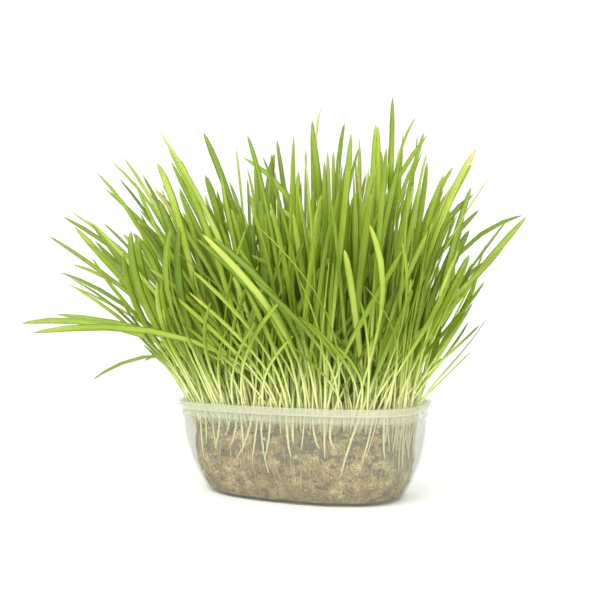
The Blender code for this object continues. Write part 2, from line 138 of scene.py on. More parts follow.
# %% Wires and finishes
class Wire:
    """One output socket. An operator on it adds the Math node that does the same."""

    def __init__(self, finish, socket):
        self.finish = finish
        self.socket = socket

    def math(self, operation, *values):
        return self.finish.node("Math", {"operation": operation}, dict(enumerate([self, *values])))

    def __add__(self, other):
        return self.math("ADD", other)

    def __sub__(self, other):
        return self.math("SUBTRACT", other)

    def __rsub__(self, other):
        return (self * -1.0).math("ADD", other)

    def __mul__(self, other):
        return self.math("MULTIPLY", other)

    __radd__ = __add__
    __rmul__ = __mul__

    def step(self, low, high):
        """0 up to low, 1 from high, and an even S between."""
        settings = {"interpolation_type": "SMOOTHSTEP"}
        return self.finish.node("MapRange", settings, {"Value": self, "From Min": low, "From Max": high})


class Finish:
    """A material under way, which starts with a Principled shader."""

    def __init__(self, name, **constants):
        self.material = bpy.data.materials.new(name)
        self.material.use_nodes = True
        self.tree = self.material.node_tree
        self.shader = self.tree.nodes["Principled BSDF"]
        for socket, value in constants.items():
            self.shader.inputs[socket.replace("_", " ")].default_value = value

    def feed(self, socket, value):
        """Links a wire to a socket, or gives the socket a plain value."""
        if isinstance(value, Wire):
            self.tree.links.new(value.socket, socket)
        else:
            socket.default_value = value

    def node(self, kind, settings=None, sockets=None, out=0):
        """Adds a node: its settings, then the values or wires of its sockets, by name or number."""
        made = self.tree.nodes.new("ShaderNode" + kind)
        for name, value in (settings or {}).items():
            if name == "stops":
                self.set_stops(made.color_ramp, value)
            else:
                setattr(made, name, value)
        for name, value in (sockets or {}).items():
            self.feed(made.inputs[name], value)
        return Wire(self, made.outputs[out])

    def set_stops(self, ramp, stops):
        while len(ramp.elements) < len(stops):
            ramp.elements.new(1.0)
        for element, (place, colour) in zip(ramp.elements, stops):
            element.position = place
            element.color = colour

    def ramp(self, value, *stops):
        return self.node("ValToRGB", {"stops": stops}, {"Fac": value})

    def mix(self, share, first, second):
        """A colour that goes from first to second as share goes from 0 to 1."""
        return self.node("Mix", {"data_type": "RGBA"}, {0: share, 6: first, 7: second}, out=2)

    def place(self):
        """Where a point is, in metres from the middle of the tub's foot."""
        return self.node("TexCoord", out="Object")

    def height(self):
        return self.node("SeparateXYZ", None, {0: self.place()}, out=2)

    def noise(self, size, detail=3.0, stretch=None):
        """Cloudy grain from 0 to 1, whose lumps are about size across."""
        place = self.place()
        if stretch:
            place = self.node("VectorMath", {"operation": "MULTIPLY"}, {0: place, 1: stretch})
        return self.node("TexNoise", None, {"Vector": place, "Scale": 1 / size, "Detail": detail})

    def attribute(self, name):
        """A number kept on the mesh under a name."""
        return self.node("Attribute", {"attribute_name": name}, out="Fac")

    def bump(self, height, depth):
        """Dents the shading as if the surface rose by height times depth."""
        relief = self.node("Bump", None, {"Height": height, "Distance": depth, "Strength": 1.0})
        self.feed(self.shader.inputs["Normal"], relief)


def tint(red, green, blue):
    """A colour as a screen shows it, 0 to 255, made linear, as shaders need it."""
    c = np.array([red, green, blue]) / 255
    linear = np.where(c <= 0.04045, c / 12.92, ((c + 0.055) / 1.055) ** 2.4)
    return (*linear.tolist(), 1.0)


print("mid green is", [round(v, 3) for v in tint(129, 153, 53)], "in linear light")

# %% [markdown]
# ## A short way to write shapes
#
# Every surface here is a grid of points: one number runs along it and another across or round it. numpy
# works out all the points at once, and the faces follow from the grid's rows and columns. Many alike pieces,
# such as leaves, are one array with one more axis, so a thousand cost no more lines than one.


# %% Grids into meshes
def grid_faces(rows, columns, wrap=True):
    """Corner numbers of a grid's quads. wrap joins the last column to the first."""
    r, c = np.meshgrid(np.arange(rows - 1), np.arange(columns if wrap else columns - 1), indexing="ij")
    after = (c + 1) % columns
    corners = [r * columns + c, r * columns + after, (r + 1) * columns + after, (r + 1) * columns + c]
    return np.stack(corners, axis=-1).reshape(-1, 4)


def add_mesh(name, points, faces, finish, values=None):
    """A smooth mesh from points (n, 3) and lists of faces. values holds a number for each point, by name."""
    mesh = bpy.data.meshes.new(name)
    mesh.from_pydata(points.tolist(), [], [face for some in faces for face in some.tolist()])
    for key, numbers in (values or {}).items():
        attribute = mesh.attributes.new(key, "FLOAT", "POINT")
        attribute.data.foreach_set("value", numbers.astype(np.float32).ravel())
    mesh.shade_smooth()
    mesh.materials.append(finish.material)
    made = bpy.data.objects.new(name, mesh)
    bpy.context.scene.collection.objects.link(made)
    return made


def add_tubes(name, rings, ends, finish, values=None):
    """Many closed tubes in one mesh. rings is (pieces, rows, columns, 3), and ends is (pieces, 2, 3): the
    points that close each one. values gives each ring point a number, and an end takes its nearest ring's."""
    pieces, rows, columns, _ = rings.shape
    each = rows * columns + 2
    points = np.concatenate([rings.reshape(pieces, -1, 3), ends], axis=1)
    k = np.arange(columns)
    after = (k + 1) % columns
    top = (rows - 1) * columns
    low_fan = np.stack([np.full(columns, each - 2), after, k], axis=1)
    high_fan = np.stack([np.full(columns, each - 1), top + k, top + after], axis=1)
    first = np.arange(pieces)[:, None, None] * each
    kinds = (grid_faces(rows, columns), low_fan, high_fan)
    faces = [(first + some[None]).reshape(-1, some.shape[1]) for some in kinds]
    carried = {}
    for key, numbers in (values or {}).items():
        numbers = np.broadcast_to(numbers, (pieces, rows, columns))
        every = [numbers.reshape(pieces, -1), numbers[:, 0, :1], numbers[:, -1, :1]]
        carried[key] = np.concatenate(every, axis=1)
    return add_mesh(name, points.reshape(-1, 3), faces, finish, carried)


def settle(piece, slot, *nodes):
    """The piece rides with the tub and stands for the solid nodes named, which it hides. slot is not used."""
    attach(piece, "root")
    if nodes:
        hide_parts(*nodes)


# %% [markdown]
# ## The tub
#
# The real tub is one moulding of cloudy plastic about a millimetre thick. Its plan is a superellipse, an
# oblong between an ellipse and a rectangle: where c and s are the cosine and sine of an angle, the point is
# (c, s) divided by (|c|^n + |s|^n)^(1/n), stretched to the tub's length and width. The wall is a profile of
# heights and insets carried round that plan, and it gets squarer towards the rim.

# %% The tub's wall
TUB_LENGTH, TUB_WIDTH, TUB_HEIGHT = 172 * MM, 116 * MM, 63 * MM
RIM_POWER, FOOT_POWER = 3.1, 2.35
WALL = 1.1 * MM
LIP_OVERHANG = 3.3 * MM
TURN_HEIGHT, FOOT_INSET, TURN_POWER = 50 * MM, 14 * MM, 2.1
FLOOR = 1.6 * MM


def oblong(half_length, half_width, power, sides):
    """Points round a superellipse, spread evenly by angle."""
    turn = np.arange(sides) * 2 * math.pi / sides
    c, s = np.cos(turn), np.sin(turn)
    reach = (np.abs(c) ** power + np.abs(s) ** power) ** (-1 / power)
    return np.stack([half_length * reach * c, half_width * reach * s], axis=1)


def wall_inset(height):
    """How far the outside of the wall stands in from the lip's edge: a power of the depth below the turn."""
    below = np.maximum(0.0, TURN_HEIGHT - height) / TURN_HEIGHT
    return LIP_OVERHANG + FOOT_INSET * below**TURN_POWER


def plan_power(height):
    """How square the plan is at a height."""
    return FOOT_POWER + (RIM_POWER - FOOT_POWER) * np.minimum(1.0, height / TURN_HEIGHT)


def ring_at(height, inset, sides):
    """One ring of the tub: the superellipse that belongs to a height, drawn in by an inset."""
    plan = oblong(TUB_LENGTH / 2 - inset, TUB_WIDTH / 2 - inset, plan_power(height), sides)
    return np.column_stack([plan, np.full(sides, height)])


def rounded(profile, radius, steps=3):
    """A profile with each corner replaced by a short curve: between the points at radius before and after the
    corner, (1 - t)^2 before + 2 t (1 - t) corner + t^2 after."""
    corner = profile[1:-1]
    back, ahead = profile[:-2] - corner, profile[2:] - corner
    back_long = np.linalg.norm(back, axis=1, keepdims=True)
    ahead_long = np.linalg.norm(ahead, axis=1, keepdims=True)
    before = corner + back / back_long * np.minimum(radius, back_long * 0.45)
    after = corner + ahead / ahead_long * np.minimum(radius, ahead_long * 0.45)
    t = np.linspace(0, 1, steps + 1)[None, :, None]
    curve = (1 - t) ** 2 * before[:, None] + 2 * t * (1 - t) * corner[:, None] + t**2 * after[:, None]
    return np.concatenate([profile[:1], curve.reshape(-1, 2), profile[-1:]])


# %% The tub's profile
CORNER_RADIUS = 0.45 * MM
TUB_SIDES = 176
climb = np.linspace(2.2 * MM, TURN_HEIGHT, 15)
outside = [(0.0, wall_inset(0) + 1.2 * MM), (0.6 * MM, wall_inset(0)), *zip(climb, wall_inset(climb))]
band = [(53, 3.3), (53.5, 2.3), (62.1, 2.3), (62.1, 0.9), (58.4, 0.9), (58.4, 0.05), (63, 0.0), (63, 3.4)]
rim = [(z * MM, inset * MM) for z, inset in band + [(61.9, 3.4), (53.5, 3.4), (52.5, 4.4)]]
BAND_LOW, LIP_LOW = rim[1][0], rim[4][0]
inside = [*zip(climb[::-1], wall_inset(climb[::-1]) + WALL), (FLOOR, wall_inset(FLOOR) + WALL + 1 * MM)]
profile = rounded(np.array(outside + rim + inside), CORNER_RADIUS)
rings = np.stack([ring_at(z, i, TUB_SIDES) for z, i in profile])
print("the tub's wall has", len(profile), "rings of", TUB_SIDES, "points")

# %% [markdown]
# ## Milky plastic
#
# Thin polypropylene lets light through but scatters some of it, so what is behind looks veiled. Real
# refraction would need many samples to look clean, and thin walls hardly bend light anyway. So the plastic
# is mostly see-through by its alpha, with a pale grey-cream colour of its own and a soft gloss. The thick
# rim scatters more, so it is whiter and less clear. So do the ends and the corners of the band and the lip,
# where the light goes through more plastic.

# %% Plastic
plastic = Finish("milky plastic", IOR=1.49)
WALL_VEIL, RIM_VEIL, END_VEIL, CORNER_VEIL = 0.18, 0.12, 0.12, 0.14
level = plastic.height()
rim_share = level.step(TURN_HEIGHT, 56 * MM)
lengthwise = plastic.node("SeparateXYZ", None, {0: plastic.place()}, out=0).math("ABSOLUTE")
end_share = lengthwise.step(62 * MM, 84 * MM)
corners = [
    1.0 - (level - at).math("ABSOLUTE").step(0.4 * MM, 0.9 * MM)
    for at in (BAND_LOW - 0.1 * MM, LIP_LOW, TUB_HEIGHT)
]
milk = plastic.mix(rim_share, tint(160, 161, 139), tint(196, 200, 174))
plastic.feed(plastic.shader.inputs["Base Color"], milk)
veil = rim_share * RIM_VEIL + end_share * (1.0 - rim_share) * END_VEIL
veil = veil + (corners[0] + corners[1] + corners[2]) * CORNER_VEIL + WALL_VEIL
plastic.feed(plastic.shader.inputs["Alpha"], veil)
cloud = plastic.noise(9 * MM, 2.0)
plastic.feed(plastic.shader.inputs["Roughness"], cloud * 0.16 + 0.22)
plastic.bump(plastic.noise(14 * MM, 1.0), 0.12 * MM)
tub_ends = np.array([[[0, 0, 0], [0, 0, FLOOR]]])
tub = add_tubes("frosted_tub", rings[None], tub_ends, plastic)
settle(tub, "frosted_plastic", "tray")
print("the plastic takes", len(plastic.tree.nodes), "nodes")

# %% [markdown]
# ## How wheatgrass grows
#
# Each plant is a pale stem about 2 mm thick that opens into a long leaf, and most stems fork into a second
# one. The solid model grew its leaves by a seeded rule: each leaf is a cubic curve from its root, it leans
# the more the nearer it stands to the tub's edge, and it is only kept where it crosses nothing. The same
# rule, run again from the same seed, gives the same leaves, so the fine ones stand where the solid ones do.

# %% Curves, widths and frames of a leaf
STEM_WIDTH = 1.9 * MM
LEAF_OPENS_OVER, LEAF_TAPERS_FROM = 0.45, 0.8


def curve_at(path, t):
    """Points of the cubic curve of four points at shares t: the weights are those of (1 - t + t)^3."""
    t = np.asarray(t, float)[:, None]
    s = 1 - t
    path = path[..., None, :]
    first, second, third, last = (path[..., k, :, :] for k in range(4))
    return s**3 * first + 3 * s**2 * t * second + 3 * s * t**2 * third + t**3 * last


def heading_at(path, t):
    """Unit vectors along that curve, from its derivative."""
    t = np.asarray(t, float)[:, None]
    s = 1 - t
    legs = np.diff(path, axis=-2)[..., None, :]
    step = s**2 * legs[..., 0, :, :] + 2 * s * t * legs[..., 1, :, :] + t**2 * legs[..., 2, :, :]
    return step / np.linalg.norm(step, axis=-1, keepdims=True)


def leaf(path, width, stem, roll, twist):
    """A leaf as its curve, full width, share that is bare stem, and roll about the curve from root to tip."""
    return {"path": np.array(path), "width": width, "stem": stem, "roll": roll, "twist": twist}


def opening(stem, t):
    """0 on the stem and 1 on the open leaf, with an S between: 3 x^2 - 2 x^3."""
    x = np.clip((t - stem) / LEAF_OPENS_OVER, 0, 1)
    return x**2 * (3 - 2 * x)


def open_width(width, stem, t):
    """The stem's width, opening into the leaf's."""
    return STEM_WIDTH + (width - STEM_WIDTH) * opening(stem, t)


def width_at(width, stem, t):
    """That width, drawn in to the tip as (1 - x^2.2)^0.8."""
    late = np.clip((t - LEAF_TAPERS_FROM) / (1 - LEAF_TAPERS_FROM), 0, 1)
    return open_width(width, stem, t) * (1 - late**2.2) ** 0.8


def frame_at(path, roll, twist, t):
    """Centre, side and face vectors along leaves. The side lies across the plane that the leaf bends in,
    turned about the curve by roll + twist t."""
    centre, heading = curve_at(path, t), heading_at(path, t)
    level = np.cross(UP, path[..., 3, :] - path[..., 0, :])
    level = (level / np.maximum(np.linalg.norm(level, axis=-1, keepdims=True), 1e-9))[..., None, :]
    side = level - (heading * level).sum(-1, keepdims=True) * heading
    side = side / np.linalg.norm(side, axis=-1, keepdims=True)
    face = np.cross(heading, side)
    angle = (np.asarray(roll)[..., None] + np.asarray(twist)[..., None] * np.asarray(t))[..., None]
    turned = np.cos(angle) * side + np.sin(angle) * face
    return centre, turned, np.cross(heading, turned)


# %% [markdown]
# ## Room to grow
#
# To test whether a leaf crosses another, the air over the tub is cut into small cubes. A leaf marks the cubes
# that it passes and those next to them, and a new leaf is only kept where its own cubes are all free. That is
# far quicker than comparing leaf with leaf.

# %% Cubes of air
CELL = 1.3 * MM
AIR_LOW = np.array([-200 * MM, -140 * MM, 0.0])
AIR_CELLS = (290, 215, 215)
CELL_RING = 600


def cells_of(points):
    """The cube that each point lies in, by its three numbers."""
    return np.floor((points - AIR_LOW) / CELL).astype(int)


def leaf_cells(blade, start=0.0):
    """Cubes that a leaf lies in, from a share of the way up."""
    t = np.linspace(start, 1, 160)
    centre, side, _ = frame_at(blade["path"], blade["roll"], blade["twist"], t)
    half = (width_at(blade["width"], blade["stem"], t) / 2)[:, None]
    return cells_of(np.concatenate([centre + side * half * k for k in (-1, -0.6, -0.2, 0.2, 0.6, 1)]))


def take(air, cells):
    """Marks cubes and their neighbours as taken."""
    for dx in (-1, 0, 1):
        for dy in (-1, 0, 1):
            for dz in (-1, 0, 1):
                air[cells[:, 0] + dx, cells[:, 1] + dy, cells[:, 2] + dz] = True


def is_free(air, blade, start, shared=0.0, wall=None):
    """Whether a leaf crosses nothing, or only for a small share of its length, and never the wall."""
    cells = leaf_cells(blade, start)
    if (cells < 1).any() or (cells >= np.array(AIR_CELLS) - 1).any():
        return False
    cells = tuple(cells.T)
    return air[cells].mean() <= shared and (wall is None or not wall[cells].any())


def air_round_tub():
    """The air, with the cubes along the tub's wall and lip taken."""
    air = np.zeros(AIR_CELLS, bool)
    for height in np.arange(30 * MM, TUB_HEIGHT + 2 * MM, CELL):
        for inset in (0.0, LIP_OVERHANG / 2, LIP_OVERHANG + WALL):
            take(air, cells_of(ring_at(height, inset, CELL_RING)))
    return air


# %% [markdown]
# ## Where the plants stand
#
# The plants stand in clumps on plugs of matted roots. The plugs fill two rings that follow the soil's outline
# and a short row in the middle, and each plug holds one plant in its middle and eight round it.

# %% Plugs and roots
SOIL_TOP = 46 * MM
SOIL_TOP_HALF = (73 * MM, 50.3 * MM)
PLUG_RISE = 1.2 * MM
PLUG_EDGE = 9.8 * MM
PLUG_RINGS = ((0 * MM, 16), (20.4 * MM, 9))
MIDDLE_ROW = (24.2 * MM, 3)
SHOOTS_ROUND_PLUG, SHOOT_CIRCLE, ROOT_DEPTH = 8, 5.3 * MM, 4 * MM


def plug_centres():
    """Points evenly spaced along rings of the soil's outline, then along the middle row."""
    places = []
    for inset, count in PLUG_RINGS:
        half = np.array(SOIL_TOP_HALF) - PLUG_EDGE - inset
        outline = oblong(half[0], half[1], RIM_POWER - 0.3, 720)
        outline = np.concatenate([outline, outline[:1]])
        run = np.concatenate([[0.0], np.cumsum(np.linalg.norm(np.diff(outline, axis=0), axis=1))])
        marks = (np.arange(count) + 0.5) * run[-1] / count
        places += list(zip(np.interp(marks, run, outline[:, 0]), np.interp(marks, run, outline[:, 1])))
    places += [(x, 0.0) for x in np.linspace(-MIDDLE_ROW[0], MIDDLE_ROW[0], MIDDLE_ROW[1])]
    return np.array(places)


def shoot_roots(centres, rng):
    """(plug, place) of every shoot."""
    roots = []
    for plug, centre in enumerate(centres):
        turn = rng.uniform(0, 2 * math.pi)
        roots.append((plug, centre + rng.uniform(-0.5, 0.5, 2) * MM))
        for k in range(SHOOTS_ROUND_PLUG):
            angle = turn + 2 * math.pi * (k + rng.uniform(-0.12, 0.12)) / SHOOTS_ROUND_PLUG
            out = SHOOT_CIRCLE + rng.uniform(-0.5, 0.4) * MM
            roots.append((plug, centre + out * np.array([math.cos(angle), math.sin(angle)])))
    return roots


def root_point(place):
    """The point in the plug, a little under its top, that a shoot grows from."""
    return np.array([place[0], place[1], SOIL_TOP + PLUG_RISE - ROOT_DEPTH])


centres = plug_centres()
print(len(centres), "plugs")

# %% [markdown]
# ## The long leaves
#
# A few dozen leaves give the tray its outline, so they are placed one by one. Each row gives, in millimetres
# and degrees: the root along the picture and away from it, the rise of the stem, the tip along, away and up,
# the lean of the tip from upright, how far that lean reaches, and the width.

# %% Rows of long leaves
LONG_LEAVES = (
    (-10, -38, 42, -170, -52, 109, -100, 95, 4.4),
    (-38, -30, 40, -196, 2, 115, -99, 80, 4.6),
    (-52, -16, 44, -178, 4, 176, -58, 62, 4.4),
    (-44, 18, 50, -176, 30, 193, -62, 70, 3.6),
    (-62, -2, 36, -172, 12, 151, -72, 58, 3.4),
    (-58, 22, 40, -170, 24, 143, -68, 60, 2.8),
    (-66, 10, 34, -152, -8, 133, -70, 46, 2.8),
    (-22, -32, 44, -164, -22, 121, -84, 80, 5.6),
    (-60, 14, 40, -165, 16, 157, -76, 54, 2.6),
    (-62, -12, 42, -130, -6, 156, -40, 36, 3.4),
    (-70, 20, 24, -114, 22, 88, -132, 30, 2.8),
    (-72, 2, 28, -102, 2, 90, -112, 24, 3.2),
    (-71, -12, 16, -92, -16, 88, -28, 14, 3.4),
    (-34, -36, 46, -98, -50, 150, -58, 50, 5.0),
    (-10, -46, 56, -40, -58, 113, -118, 34, 3.4),
    (-2, -38, 66, -35, -42, 159, -66, 46, 4.6),
    (18, -36, 80, -17, -40, 190, -58, 52, 4.6),
    (30, -40, 60, 52, -48, 168, 36, 50, 4.8),
    (-60, 30, 52, -156, 38, 73, -128, 52, 4.2),
    (-66, 26, 44, -152, 34, 91, -104, 44, 3.4),
    (-48, 34, 62, -144, 44, 236, -52, 46, 2.6),
    (-50, 2, 66, -128, 14, 233, -36, 60, 4.8),
    (-56, 14, 58, -130, 8, 217, -42, 56, 4.0),
    (-40, -8, 56, -134, -16, 206, -50, 76, 5.4),
    (-58, -6, 48, -138, -4, 184, -50, 46, 2.8),
    (-24, 6, 74, -93, 6, 229, -24, 64, 5.0),
    (-22, 22, 78, -73, 26, 254, -24, 60, 5.2),
    (-12, -10, 60, -40, -30, 224, -62, 84, 5.2),
    (-2, 30, 82, -20, 40, 252, -8, 60, 3.6),
    (10, 10, 84, 6, 4, 257, -3, 50, 4.6),
    (18, 34, 92, 13, 44, 276, 22, 34, 3.2),
    (30, 24, 84, 30, 30, 262, 14, 50, 3.8),
    (46, 8, 90, 51, 10, 256, 2, 60, 6.0),
    (56, -14, 92, 60, -16, 268, 1, 70, 4.6),
    (60, 20, 70, 82, 30, 266, 34, 54, 2.8),
    (68, -4, 70, 104, 2, 224, 34, 60, 4.2),
    (70, 6, 66, 106, 12, 214, 26, 60, 4.6),
    (62, -20, 60, 112, -26, 200, 54, 50, 4.0),
    (58, 18, 62, 128, 30, 198, 46, 56, 4.4),
    (66, -10, 52, 152, 2, 190, 76, 66, 4.0),
    (72, -26, 44, 148, -22, 186, 42, 70, 4.6),
    (66, -34, 40, 134, -30, 184, 38, 64, 3.6),
    (38, -34, 34, 112, -34, 103, 91, 58, 2.6),
)
LONG_LEAF_STEM = 0.3
LONG_LEAF_ROLL, LEAF_ROLL = (0.8, 1.3), (0.4, 1.4)
print(len(LONG_LEAVES), "long leaves")


def turned(least_and_most, rng):
    """A roll to either hand."""
    return rng.choice((-1, 1)) * rng.uniform(*least_and_most)


def long_leaf(place, row, rng):
    """The curve goes straight up by the rise, and comes to the tip along the lean."""
    _, _, rise, along, across, up, lean, reach, width = row
    root = root_point(place)
    tip = (along * ALONG + across * ACROSS + up * UP) * MM
    tilt = math.radians(lean)
    towards = math.sin(tilt) * ALONG + math.cos(tilt) * UP
    path = [root, root + rise * MM * UP, tip - reach * MM * towards, tip]
    return leaf(path, width * MM, LONG_LEAF_STEM, turned(LONG_LEAF_ROLL, rng), rng.uniform(-0.5, 0.5))


# %% [markdown]
# ## The common leaves
#
# The rest lean outwards, a little at random. Grass grows towards its light, which here came from the left, so
# the left end fans out wide and the right end stands nearly upright. A second leaf leaves the stem of the
# first low down and leans away from it. calm falls with each failed try, and a calm leaf sways less and is
# shorter, so it finds room more easily.

# %% Rules for common leaves
STEM_SHARE = 0.24
LEAF_WIDTH = (3.4 * MM, 6.4 * MM)
SHOOT_HEIGHT = (158 * MM, 208 * MM)
TALLER_RIGHT, SHORTER_OUT = 0.09, 0.8
FORK_CHANCE, FORK_SHARE, FORK_LENGTH = 0.85, (0.16, 0.36), (80 * MM, 140 * MM)
LEAN_LEFT, LEAN_RIGHT, LEAN_BACK, LEAN_NOISE = (0.26, 0.95), (0.0, 0.26), 0.36, 0.1
SPREAD_HALF = (78 * MM, 60 * MM)


def spread(place, calm, rng):
    """Which way a shoot leans, as a level vector of run over rise."""
    along, across = place @ ALONG[:2], place @ ACROSS[:2]
    least, most = LEAN_RIGHT if along > 0 else LEAN_LEFT
    out = min(1.0, abs(along) / SPREAD_HALF[0]) ** 1.3
    lean = math.copysign(out, along) * (least + (most - least) * rng.uniform(0, 1) ** 1.3)
    lean += rng.normal(0, LEAN_NOISE) * calm
    sway = LEAN_BACK * across / SPREAD_HALF[1] + rng.normal(0, LEAN_NOISE) * calm
    return lean * ALONG + sway * ACROSS


def upright_leaf(place, calm, rng):
    """A leaf whose tip is at root + height (up + lean). A leaf that leans more is shorter."""
    root = root_point(place)
    lean = spread(place, calm, rng)
    height = rng.uniform(*SHOOT_HEIGHT) * (0.72 + 0.28 * calm) * (1 - 0.25 * min(1.0, np.linalg.norm(lean)))
    height *= 1 + TALLER_RIGHT * (place @ ALONG[:2]) / SPREAD_HALF[0] - SHORTER_OUT * max(0.0, lean @ ALONG)
    tip = root + height * (UP + lean)
    bend = rng.uniform(0.25, 0.9)
    path = [root, root + height * (0.36 * UP + 0.1 * lean), tip - height * (0.34 * UP + bend * lean), tip]
    stem = STEM_SHARE + rng.uniform(-0.05, 0.05)
    return leaf(path, rng.uniform(*LEAF_WIDTH), stem, turned(LEAF_ROLL, rng), rng.normal(0, 0.5))


def second_leaf(first, calm, rng):
    """A leaf that starts on the first, along its curve, and bends away from it."""
    share = rng.uniform(*FORK_SHARE)
    start = curve_at(first["path"], [share])[0]
    heading = heading_at(first["path"], [share])[0]
    turn = rng.uniform(0, 2 * math.pi)
    away = np.array([math.cos(turn), math.sin(turn), 0.0])
    lean = spread(start[:2], calm, rng) * 0.7 + away * rng.uniform(0.2, 0.45)
    length = rng.uniform(*FORK_LENGTH) * (0.6 + 0.4 * calm)
    tip = start + length * (UP + lean)
    second = start + 0.3 * length * (heading + 0.45 * away)
    path = [start, second, tip - length * (0.3 * UP + 0.5 * lean), tip]
    width = rng.uniform(LEAF_WIDTH[0] * 0.8, LEAF_WIDTH[1] * 0.85)
    return leaf(path, width, 0.04, turned(LEAF_ROLL, rng), rng.normal(0, 0.5))


# %% Grow the leaves of the solid model
MOST_TRIES = 200
SEED = 20


def first_free(air, make, start, tries=MOST_TRIES, **rule):
    """The first leaf of many tries that is free, or None. make takes a share that falls with each try."""
    for attempt in range(tries):
        blade = make(1 - attempt / tries)
        if is_free(air, blade, start, **rule):
            return blade
    return None


def nearest_root(roots, free, wanted):
    """Which free root is nearest to the place wanted."""
    gaps = [np.linalg.norm(roots[k][1] - wanted) if k in free else np.inf for k in range(len(roots))]
    return int(np.argmin(gaps))


def grow_grass(centres, air, rng):
    """(plug, leaf) of every leaf, in the order in which they grew."""
    roots = shoot_roots(centres, rng)
    free = set(range(len(roots)))
    grown = []
    for row in LONG_LEAVES:
        k = nearest_root(roots, free, ((row[0] * ALONG + row[1] * ACROSS) * MM)[:2])
        plug, place = roots[k]
        blade = first_free(air, lambda calm: long_leaf(place, row, rng), 0.08)
        if blade is None:
            continue
        free.discard(k)
        take(air, leaf_cells(blade))
        grown.append((plug, blade))
    for k in rng.permutation(sorted(free)):
        plug, place = roots[k]
        first = first_free(air, lambda calm: upright_leaf(place, calm, rng), 0.06)
        if first is None:
            continue
        shoot = [first]
        if rng.random() < FORK_CHANCE:
            second = first_free(air, lambda calm: second_leaf(first, calm, rng), 0.12)
            shoot += [second] if second else []
        for blade in shoot:
            take(air, leaf_cells(blade))
            grown.append((plug, blade))
    return grown


rng = np.random.default_rng(SEED)
# The solid model first turns each plug at random. The draw keeps the leaves' numbers the same.
rng.uniform(0, 2 * math.pi, len(centres))
grown = grow_grass(centres, air_round_tub(), rng)
print(len(grown), "leaves stand where the solid ones do")

# %% [markdown]
# ## Finer leaves between
#
# The solid leaves are few, because each must keep clear of the rest. The real sward is thicker, with thin
# leaves in every gap. They follow the same rule, but may pass each other closely: a leaf marks only the cubes
# that it fills, and not those beside them, and it may touch another for a short way, as leaves do. Some lie
# across their neighbours. The outermost plants are rooted against the plastic, some way down, so their pale
# feet show through the wall.

# %% Places for finer leaves
SOIL_GAP = 0.5 * MM


def soil_half(height):
    """Half the soil's length and width: against the wall at the foot, and clear of it at the top."""
    share = (height / SOIL_TOP) ** 0.7
    inset = wall_inset(height) + WALL + SOIL_GAP
    against = np.array([TUB_LENGTH / 2 - inset, TUB_WIDTH / 2 - inset])
    return np.minimum(against, against * (1 - share) + np.array(SOIL_TOP_HALF) * share)


def side_point(turn, height):
    """The point of the soil's side at an angle round the tub."""
    half, power = soil_half(height), plan_power(height)
    c, s = math.cos(turn), math.sin(turn)
    reach = (abs(c) ** power + abs(s) ** power) ** (-1 / power)
    return np.array([half[0] * reach * c, half[1] * reach * s, height])


def jogged(blade, size, width, jog, rng):
    """The leaf made smaller and slimmer, with its tip pushed a random way by about jog."""
    root = blade["path"][0]
    push = np.array([*rng.normal(0, jog, 2), 0])
    blade["path"] = root + (blade["path"] - root) * size + np.array([[0], [0.25], [0.75], [1.0]]) * push
    blade["width"] = rng.uniform(*width)
    blade["slim"] = rng.uniform(0.5, 0.8)
    return blade


def random_place(rng, power):
    """A random place on the soil. A power under a half crowds the places towards the edge."""
    turn = rng.uniform(0, 2 * math.pi)
    return side_point(turn, SOIL_TOP)[:2] * rng.uniform(0, 1) ** power * 0.955


# %% Kinds of finer leaves
EXTRA_WIDTH = (2.2 * MM, 5.2 * MM)
YOUNG_WIDTH = (1.9 * MM, 3.0 * MM)
CROSSING_WIDTH = (1.4 * MM, 4.9 * MM)
CROSSING_HEIGHT = (35 * MM, 130 * MM)
EDGE_DEPTH = (20 * MM, 43 * MM)


def extra_leaf(calm, rng):
    """A grown leaf from a random place on the soil."""
    blade = upright_leaf(random_place(rng, 0.5), calm, rng)
    return jogged(blade, rng.uniform(0.6, 1.0), EXTRA_WIDTH, 36 * MM * calm, rng)


def young_leaf(calm, rng):
    """A short thin shoot, most of them near the edge, where they lean every way."""
    blade = upright_leaf(random_place(rng, 0.25), calm, rng)
    blade["stem"] = rng.uniform(0.35, 0.6)
    return jogged(blade, rng.uniform(0.28, 0.62), YOUNG_WIDTH, 30 * MM * calm, rng)


def edge_leaf(turn, calm, rng):
    """A leaf rooted on the soil's side. Its bent, slanting stem goes up beside it and clears the rim."""
    foot = side_point(turn, rng.uniform(*EDGE_DEPTH))
    blade = upright_leaf(foot[:2], calm, rng)
    blade = jogged(blade, rng.uniform(0.45, 1.0), EXTRA_WIDTH, 16 * MM * calm, rng)
    top = side_point(turn + rng.normal(0, 0.11) * calm, SOIL_TOP)
    top = top + 1.2 * MM * top * [1, 1, 0] / np.linalg.norm(top[:2])
    bent = side_point(turn + rng.normal(0, 0.09) * calm, foot[2])
    blade["path"] = np.array([bent, foot + rng.uniform(1.0, 1.6) * (top - foot), *blade["path"][2:]])
    blade["stem"] = 0.34
    blade["slim"] = rng.uniform(0.4, 0.75)
    return blade


